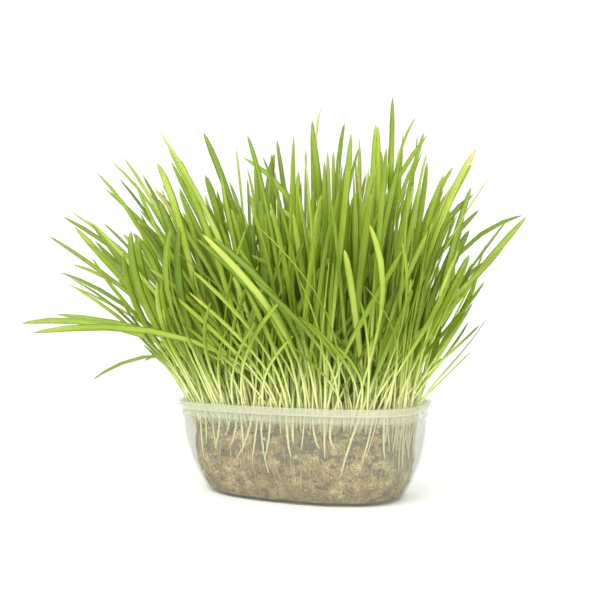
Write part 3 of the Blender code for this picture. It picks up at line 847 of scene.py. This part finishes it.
def crossing_leaf(turn, calm, rng):
    """A leaf from near the soil's edge that leans out and lies across its neighbours, its face outwards."""
    place = side_point(turn, SOIL_TOP)[:2] * rng.uniform(0.75, 0.93)
    out = np.array([*place / np.linalg.norm(place), 0.0])
    sideways = np.cross(UP, out) * rng.choice((-1, 1)) * rng.uniform(0.2, 0.8)
    root = root_point(place)
    grown_up = rng.uniform(0, 1) ** 1.8
    height = CROSSING_HEIGHT[0] + grown_up * (CROSSING_HEIGHT[1] - CROSSING_HEIGHT[0])
    lean = out * rng.uniform(0.15, 0.5)
    tip = root + height * (UP + lean + sideways * (0.4 + 0.6 * calm))
    path = [root, root + height * (0.42 * UP + 0.4 * lean), tip - height * (0.34 * UP + 0.6 * sideways), tip]
    width = CROSSING_WIDTH[0] + grown_up * (CROSSING_WIDTH[1] - CROSSING_WIDTH[0])
    blade = leaf(path, width, 0.5 - 0.3 * grown_up, rng.normal(math.pi / 2, 0.5), rng.normal(0, 0.5))
    blade["slim"] = rng.uniform(0.5, 0.8)
    return blade


# %% Fill the gaps
EXTRA_LEAVES, YOUNG_LEAVES, EDGE_LEAVES, CROSSING_LEAVES = 300, 480, 320, 420
WALL_LAYERS = (0.3 * MM, 0.9 * MM)
LIP_LAYERS = (0.3 * MM, 1.3 * MM, 2.3 * MM, 3.2 * MM)
WALL_RING = 700
GAP_TRIES = 30


def wall_cells():
    """Cubes of the tub's wall and lip alone."""
    wall = [(z, wall_inset(z) + depth) for z in np.arange(36, 58) * MM for depth in WALL_LAYERS]
    lip = [(z, depth) for z in np.arange(58, 64) * MM for depth in LIP_LAYERS]
    return cells_of(np.concatenate([ring_at(z, inset, WALL_RING) for z, inset in wall + lip]))


def fill_gaps(grown, rng):
    """More leaves, each given to its nearest plug. They stay in the solid model's box and off the wall. Each
    kind has the share of its foot that is not tested, and the share of the rest that may touch another."""
    air, wall = np.zeros(AIR_CELLS, bool), np.ones(AIR_CELLS, bool)
    (left, front, _), (right, back, top) = cells_of(np.array(solid_box))
    wall[left:right, front:back, :top] = False
    wall[tuple(wall_cells().T)] = True
    for _, blade in grown:
        air[tuple(leaf_cells(blade).T)] = True
    turns = np.linspace(0, 2 * math.pi, EDGE_LEAVES)
    makers = [(0.14, 0.0, lambda calm, turn=turn: edge_leaf(turn, calm, rng)) for turn in turns]
    turns = rng.choice((-1, 1), CROSSING_LEAVES) * rng.uniform(0.6, 2.5, CROSSING_LEAVES)
    makers += [(0.04, 0.05, lambda calm, turn=turn: crossing_leaf(turn, calm, rng)) for turn in turns]
    makers += [(0.05, 0.03, lambda calm: extra_leaf(calm, rng))] * EXTRA_LEAVES
    makers += [(0.1, 0.04, lambda calm: young_leaf(calm, rng))] * YOUNG_LEAVES
    more = []
    for start, shared, make in makers:
        blade = first_free(air, make, start, tries=GAP_TRIES, shared=shared, wall=wall)
        if blade is None:
            continue
        air[tuple(leaf_cells(blade).T)] = True
        more.append((int(np.argmin(np.linalg.norm(centres - blade["path"][0, :2], axis=1))), blade))
    return more


extra = fill_gaps(grown, np.random.default_rng(SEED + 1))
print(len(extra), "finer leaves between them")

# %% [markdown]
# ## Leaf green
#
# A wheat leaf is not one green. It is nearly white where it leaves the soil, yellow-green on the stem, and
# deeper on the open leaf, with fine pale veins along it, and some tips have gone straw. Light also comes
# through it, so a leaf that is lit from behind glows. The colour reads numbers kept on the mesh: how far
# along and across the leaf a point is, how open the leaf is there, and one random number for each leaf.

# %% Leaf finish
STEM_GLOW, LEAF_GLOW = 0.08, 0.3
leaf_green = Finish("leaf green", Roughness=0.42, IOR=1.4)
along = leaf_green.attribute("along")
across = leaf_green.attribute("across")
opened = leaf_green.attribute("open")
chance = leaf_green.attribute("chance")
patch = leaf_green.noise(26 * MM, 2.0)
tone = chance * 0.75 + patch * 0.5 - 0.12
blade_colour = leaf_green.ramp(
    tone,
    (0.0, tint(82, 112, 14)),
    (0.35, tint(124, 153, 28)),
    (0.7, tint(160, 186, 52)),
    (1.0, tint(206, 220, 104)),
)
above_soil = leaf_green.height().step(44 * MM, 110 * MM)
stem_colour = leaf_green.mix(above_soil, tint(236, 237, 180), tint(188, 208, 86))
base_colour = leaf_green.mix(opened, stem_colour, blade_colour)
veins = (across * 14.0).math("SINE") * 0.5 + 0.5
midrib = 1.0 - across.math("ABSOLUTE").step(0.02, 0.2)
ribs = veins * 0.3 + midrib * 0.7
ribbed = leaf_green.mix(ribs * opened * 0.3, base_colour, tint(206, 222, 128))
straw = along.step(0.85, 1.0) * chance.step(0.92, 0.97)
leaf_green.feed(leaf_green.shader.inputs["Base Color"], leaf_green.mix(straw, ribbed, tint(222, 208, 104)))
leaf_green.bump(ribs * opened, 0.08 * MM)
glow = leaf_green.node("BsdfTranslucent", None, {"Color": tint(190, 210, 50)})
surface = Wire(leaf_green, leaf_green.shader.outputs[0])
glow_share = opened * (LEAF_GLOW - STEM_GLOW) + STEM_GLOW
blend = leaf_green.node("MixShader", None, {0: glow_share, 1: surface, 2: glow})
leaf_green.feed(leaf_green.tree.nodes["Material Output"].inputs["Surface"], blend)
print("the leaf green takes", len(leaf_green.tree.nodes), "nodes")

# %% [markdown]
# ## Leaves as thin folded ribbons
#
# A leaf is a closed hexagon carried along its curve. On the stem the hexagon is nearly round, and as the
# leaf opens it widens and flattens, and its middle sinks, so that the leaf is folded like a gutter. Six
# corners and eleven rings keep each leaf to a few dozen faces. The tip is blunter than the solid leaf's,
# which comes to a point: the width falls as (1 - x^2.4)^0.6 over the last sixth.

# %% Leaf meshes
LEAF_RINGS = np.array([0, 0.07, 0.15, 0.25, 0.36, 0.47, 0.59, 0.71, 0.83, 0.92, 0.975])
TIP_FROM = 0.83
CORNER_ACROSS = np.array([-1.0, -0.5, 0.5, 1.0, 0.5, -0.5])
CORNER_FACE = np.array([0.0, 1.0, 1.0, 0.0, -1.0, -1.0])
STEM_THICKNESS, LEAF_THICKNESS, FOLD = 1.6 * MM, 0.34 * MM, 0.3


def add_leaves(name, blades, chances):
    """All leaves of a clump in one mesh. A corner lies at centre + side half u + face lift, where u goes from
    -1 to 1 across the leaf, and lift is half the thickness up or down, less fold half (1 - u^2)."""
    keys = ("path", "width", "stem", "roll", "twist")
    path, width, stem, roll, twist = (np.array([blade[key] for blade in blades]) for key in keys)
    t = LEAF_RINGS
    centre, side, face = frame_at(path, roll, twist, t)
    open_share = opening(stem[:, None], t)
    slim = np.array([blade.get("slim", 0.85) for blade in blades])[:, None]
    slim = slim + (1 - slim) * open_share - 0.3 * np.maximum(0, 1 - t / 0.14)
    late = np.clip((t - TIP_FROM) / (1 - TIP_FROM), 0, 1)
    half = slim * open_width(width[:, None], stem[:, None], t) * (1 - late**2.4) ** 0.6 / 2
    thick = (STEM_THICKNESS + (LEAF_THICKNESS - STEM_THICKNESS) * open_share) / 2
    thick = np.minimum(thick, half)
    u = CORNER_ACROSS
    sunk = FOLD * open_share[..., None] * half[..., None] * (1 - u**2)
    lift = CORNER_FACE * thick[..., None] - sunk
    aside = side[:, :, None] * (u * half[..., None])[..., None]
    rings = centre[:, :, None] + aside + face[:, :, None] * lift[..., None]
    ends = np.stack([path[:, 0], path[:, 3]], axis=1)
    values = {
        "along": t[None, :, None],
        "across": u[None, None, :],
        "open": open_share[..., None],
        "chance": chances[:, None, None],
    }
    return add_tubes(name, rings, ends, leaf_green, values)


rng = np.random.default_rng(SEED + 2)
faces = 0
for plug, node in enumerate(clump_names):
    blades = [blade for owner, blade in grown + extra if owner == plug]
    piece = add_leaves(f"leaves_{plug + 1:02d}", blades, rng.uniform(0, 1, len(blades)))
    faces += len(piece.data.polygons)
    settle(piece, "grass", node)
print(faces, "faces of leaves")

# %% [markdown]
# ## The block of soil
#
# The soil has dried and drawn in from the ends of the tub, so its sides are bare lumps. Its surface is a grid
# too: up the side, over the edge and in to the middle. Lumps come from a sum of waves in random directions,
# a cheap smooth noise that gives the same hills at every run.

# %% Soil surface
SOIL_LOW = FLOOR + SOIL_GAP


def hills(points, size, seed, waves=14):
    """Smooth noise, mostly from -1 to 1: the sum of sin(direction . point 2 pi / size + phase) over many
    random directions, divided by the square root of how many."""
    rng = np.random.default_rng(seed)
    directions = rng.normal(size=(waves, 3))
    directions /= np.linalg.norm(directions, axis=1, keepdims=True)
    pace = 2 * math.pi / (size * rng.uniform(0.7, 1.4, waves))
    phase = rng.uniform(0, 2 * math.pi, waves)
    return np.sin((points @ directions.T) * pace + phase).sum(-1) / math.sqrt(waves)


def soil_outline(height, sides):
    """One ring of the soil's side: the tub's superellipse at a height, fitted to the soil."""
    half = soil_half(height)
    return np.column_stack([oblong(half[0], half[1], plan_power(height), sides), np.full(sides, height)])


SOIL_SIDES = 400
side_levels = np.linspace(SOIL_LOW, SOIL_TOP - 1.5 * MM, 46)
side_rings = np.stack([soil_outline(z, SOIL_SIDES) for z in side_levels])
inward = -side_rings * [1, 1, 0]
inward /= np.linalg.norm(inward, axis=-1, keepdims=True)
pits = np.clip(0.9 + hills(side_rings, 16 * MM, 3) + 0.7 * hills(side_rings, 6 * MM, 4), 0, 3)
grit = np.clip(hills(side_rings, 2.4 * MM, 5), 0, 2)
side_rings = side_rings + inward * (pits[..., None] * 0.75 + grit[..., None] * 0.35) * MM
shares = np.linspace(0.985, 0.02, 40)
top_rings = side_rings[-1] * [1, 1, 0] * shares[:, None, None] + UP * SOIL_TOP
top_lumps = 1.1 * hills(top_rings, 18 * MM, 6) + 0.8 * hills(top_rings, 7 * MM, 7)
top_lumps += 0.4 * hills(top_rings, 2.6 * MM, 8)
top_rings = top_rings + UP * (np.clip(top_lumps, -2.2, 2.2) * MM)[..., None]
soil_rings = np.concatenate([side_rings, top_rings])
print("the soil's grid is", soil_rings.shape[0], "by", soil_rings.shape[1])

# %% [markdown]
# ## Soil finish
#
# The soil is a sandy compost: buff, with grey-brown and darker patches a few millimetres across, and specks
# of husk. Small near-black spots are painted shade, as if in pits. Each scale is one noise, and a ramp turns
# it into colours.

# %% Soil
earth = Finish("sandy soil", Roughness=0.95, IOR=1.3)
large = earth.noise(9 * MM, 3.0)
small = earth.noise(1.0 * MM, 2.0)
buff = earth.ramp(
    large * 0.55 + small * 0.45,
    (0.36, tint(86, 72, 48)),
    (0.45, tint(132, 113, 76)),
    (0.54, tint(164, 143, 98)),
    (0.63, tint(220, 203, 156)),
)
upper = earth.height().step(14 * MM, 40 * MM)
clods = (earth.noise(10 * MM, 5.0, stretch=(1.0, 1.0, 1.9)) + upper * 0.07).step(0.55, 0.66)
dark = earth.mix(clods * 0.85, buff, tint(64, 67, 64))
specks = earth.noise(1.3 * MM, 1.0).step(0.64, 0.7)
flecked = earth.mix(specks * 0.7, dark, tint(158, 98, 44))
# Painted shade: dark brown spots where small pits would lie in shade, though the surface has no pits there.
painted_pit_shade = earth.noise(1.9 * MM, 3.0, stretch=(1.3, 1.3, 1.0)).step(0.62, 0.72)
earth.feed(earth.shader.inputs["Base Color"], earth.mix(painted_pit_shade * 0.7, flecked, tint(56, 44, 28)))
earth.bump(large * 0.3 + small * 0.7, 0.5 * MM)
soil_ends = np.array([[[0, 0, SOIL_LOW], [0, 0, SOIL_TOP]]])
soil = add_tubes("soil_block", soil_rings[None], soil_ends, earth)
settle(soil, "soil", "soil")
print("the soil takes", len(earth.tree.nodes), "nodes")

# %% [markdown]
# ## Crumbs and seeds
#
# Loose crumbs lie on the soil and stick out of its sides, and the husks of the sown grains lie between the
# stems. Both are the same closed lump, a small ball of a few dozen faces, stretched and turned at random. A
# grain is long, with a groove.

# %% Scattered lumps
LUMP_ROWS, LUMP_COLUMNS = 4, 7


def random_turns(count, rng):
    """Random rotations as (count, 3, 3): each from three random vectors made square to each other."""
    made, _ = np.linalg.qr(rng.normal(size=(count, 3, 3)))
    return made


def lumps(places, sizes, turns, rough, rng):
    """Balls of latitude rows and longitude columns, each stretched by sizes (n, 3), roughened and turned."""
    latitude = (np.arange(LUMP_ROWS) + 0.5) / LUMP_ROWS * math.pi
    longitude = np.arange(LUMP_COLUMNS) * 2 * math.pi / LUMP_COLUMNS
    ball = np.stack(
        [
            np.sin(latitude)[:, None] * np.cos(longitude),
            np.sin(latitude)[:, None] * np.sin(longitude),
            -np.cos(latitude)[:, None] * np.ones(LUMP_COLUMNS),
        ],
        axis=-1,
    )
    uneven = 1 + rough * rng.uniform(-1, 1, (len(places), LUMP_ROWS, LUMP_COLUMNS, 1))
    flip = np.sign(np.linalg.det(turns))[:, None, None]
    turns = turns * flip
    rings = np.einsum("nrci,nji->nrcj", ball * uneven * sizes[:, None, None], turns) + places[:, None, None]
    poles = np.array([[0, 0, -1.0], [0, 0, 1.0]]) * sizes[:, None]
    return rings, np.einsum("nki,nji->nkj", poles, turns) + places[:, None]


def on_soil_side(count, low, high, rng):
    """Random points on the soil's side, and which way is out there."""
    row = rng.integers(np.searchsorted(side_levels, low), np.searchsorted(side_levels, high), count)
    column = rng.integers(0, SOIL_SIDES, count)
    return side_rings[row, column], -inward[row, column]


def on_soil_top(count, rng):
    """Random points on the soil's top. The square root spreads them evenly over its area."""
    row = ((1 - np.sqrt(rng.uniform(0, 1, count))) * (len(shares) - 1)).astype(int)
    return top_rings[row, rng.integers(0, SOIL_SIDES, count)]


# %% Crumbs
SIDE_CRUMBS, TOP_CRUMBS = 900, 520
rng = np.random.default_rng(31)
side_places, side_out = on_soil_side(SIDE_CRUMBS, SOIL_LOW + 3 * MM, SOIL_TOP, rng)
top_places = on_soil_top(TOP_CRUMBS, rng)
side_sizes = rng.uniform(0.4, 1.5, (len(side_places), 1)) * MM
top_sizes = rng.uniform(0.5, 1.8, (len(top_places), 1)) * MM
crumb_places = np.concatenate([side_places - side_out * side_sizes * 0.75, top_places + 0.4 * MM * UP])
crumb_sizes = np.concatenate([side_sizes, top_sizes]) * rng.uniform(0.6, 1.1, (len(crumb_places), 3))
crumb_rings, crumb_ends = lumps(crumb_places, crumb_sizes, random_turns(len(crumb_places), rng), 0.2, rng)
print(len(crumb_places), "crumbs")

# %% Crumb finish
crumb = Finish("crumbs", Roughness=0.95, IOR=1.3)
shade = crumb.attribute("chance")
crumb_colour = crumb.ramp(
    shade,
    (0.0, tint(70, 66, 56)),
    (0.3, tint(122, 104, 72)),
    (0.6, tint(176, 152, 104)),
    (0.85, tint(206, 190, 148)),
    (0.97, tint(170, 122, 70)),
)
crumb.feed(crumb.shader.inputs["Base Color"], crumb_colour)
crumb.bump(crumb.noise(0.8 * MM, 2.0), 0.3 * MM)
crumb_chance = rng.uniform(0, 1, (len(crumb_places), 1, 1))
settle(add_tubes("soil_crumbs", crumb_rings, crumb_ends, crumb, {"chance": crumb_chance}), "soil")

# %% Seeds
SEEDS = 300
SEED_SIZE = np.array([1.5, 1.3, 3.1]) * MM
seed_finish = Finish("wheat husk", Roughness=0.6, IOR=1.4)
husk = seed_finish.attribute("chance") * 0.7 + seed_finish.noise(1.5 * MM, 2.0) * 0.3
husk_colour = seed_finish.ramp(
    husk,
    (0.1, tint(142, 116, 72)),
    (0.5, tint(188, 164, 112)),
    (0.9, tint(218, 202, 154)),
)
seed_finish.feed(seed_finish.shader.inputs["Base Color"], husk_colour)
rng = np.random.default_rng(32)
seed_places = on_soil_top(SEEDS, rng) + 0.9 * MM * UP
seed_sizes = SEED_SIZE * rng.uniform(0.85, 1.1, (SEEDS, 1))
seed_rings, seed_ends = lumps(seed_places, seed_sizes, random_turns(SEEDS, rng), 0.05, rng)
seed_chance = rng.uniform(0, 1, (SEEDS, 1, 1))
settle(add_tubes("seeds", seed_rings, seed_ends, seed_finish, {"chance": seed_chance}), "soil")
print(SEEDS, "seeds")

# %% [markdown]
# ## Roots
#
# Roots run down the soil's side behind the plastic. Each is a thin round tube along a crooked line, which
# wanders by the same waves as the soil's lumps.

# %% Threads down the side
THREAD_COLUMNS = 5


def threads(centre, radius):
    """Round tubes along lines (n, rows, 3) with radii (n, rows): at each row, a circle square to the step."""
    step = np.gradient(centre, axis=1)
    step /= np.linalg.norm(step, axis=-1, keepdims=True)
    aside = np.cross(step, -centre * [1, 1, 0])
    aside /= np.maximum(np.linalg.norm(aside, axis=-1, keepdims=True), 1e-9)
    other = np.cross(step, aside)
    turn = np.arange(THREAD_COLUMNS) * 2 * math.pi / THREAD_COLUMNS
    circle = np.cos(turn)[:, None] * aside[:, :, None] + np.sin(turn)[:, None] * other[:, :, None]
    rings = centre[:, :, None] + circle * radius[:, :, None, None]
    low_end = centre[:, 0] - step[:, 0] * radius[:, :1]
    high_end = centre[:, -1] + step[:, -1] * radius[:, -1:]
    return rings, np.stack([low_end, high_end], axis=1)


def down_side(angle, low, high, sideways, out, rows):
    """Lines down the soil's side at angles round the tub. Each goes from low to high, drifts sideways by
    share^0.8, and lies out from the soil by out."""
    share = np.linspace(0, 1, rows)
    level = low[:, None] + (high - low)[:, None] * share
    turn = angle[:, None] + sideways * share**0.8
    spot = np.minimum(level, SOIL_TOP)
    half = np.moveaxis(np.vectorize(soil_half, signature="()->(k)")(spot), -1, 0)
    power = plan_power(spot)
    c, s = np.cos(turn), np.sin(turn)
    reach = (np.abs(c) ** power + np.abs(s) ** power) ** (-1 / power)
    line = np.stack([half[0] * reach * c, half[1] * reach * s, level], axis=-1)
    away = line * [1, 1, 0]
    return line + away / np.linalg.norm(away, axis=-1, keepdims=True) * out


# %% Roots
rng = np.random.default_rng(42)
ROOTS, ROOT_ROWS = 120, 14
root_angle = rng.uniform(0, 2 * math.pi, ROOTS)
root_high = rng.uniform(24, 45, ROOTS) * MM
root_low = np.maximum(root_high - rng.uniform(10, 30, ROOTS) * MM, 4 * MM)
root_drift = rng.normal(0, 0.06, (ROOTS, 1))
root_lines = down_side(root_angle, root_low, root_high, root_drift, -0.2 * MM, ROOT_ROWS)
wander = np.stack([hills(root_lines, 7 * MM, 50 + k) for k in range(3)], axis=-1)
root_lines += wander * [0.35, 0.35, 0.25] * MM
root_radius = np.broadcast_to(np.linspace(0.08, 0.22, ROOT_ROWS) * MM, (ROOTS, ROOT_ROWS))
root_finish = Finish("root hair", Base_Color=tint(196, 178, 130), Roughness=0.7, IOR=1.4)
root_rings, root_ends = threads(root_lines, root_radius)
settle(add_tubes("roots", root_rings, root_ends, root_finish), "soil")
print(ROOTS, "roots")

# %% [markdown]
# ## Floor
#
# A plain white floor, wide enough that its edge can't be seen, catches the soft shadow under the tub.

# %% Floor
floor_finish = Finish("paper floor", Base_Color=tint(250, 250, 249), Roughness=0.9)
FLOOR_HALF, FLOOR_DROP = 6.0, 0.3 * MM
square = np.array([[-1, -1, 0], [1, -1, 0], [1, 1, 0], [-1, 1, 0]]) * FLOOR_HALF
floor = add_mesh("floor", square - FLOOR_DROP * UP, [np.array([[0, 1, 2, 3]])], floor_finish)
print("the floor is", 2 * FLOOR_HALF, "m wide")

# %% Measure and finish
bpy.context.view_layer.update()
print("solid", [[round(v / MM, 1) for v in c] for c in solid_box])
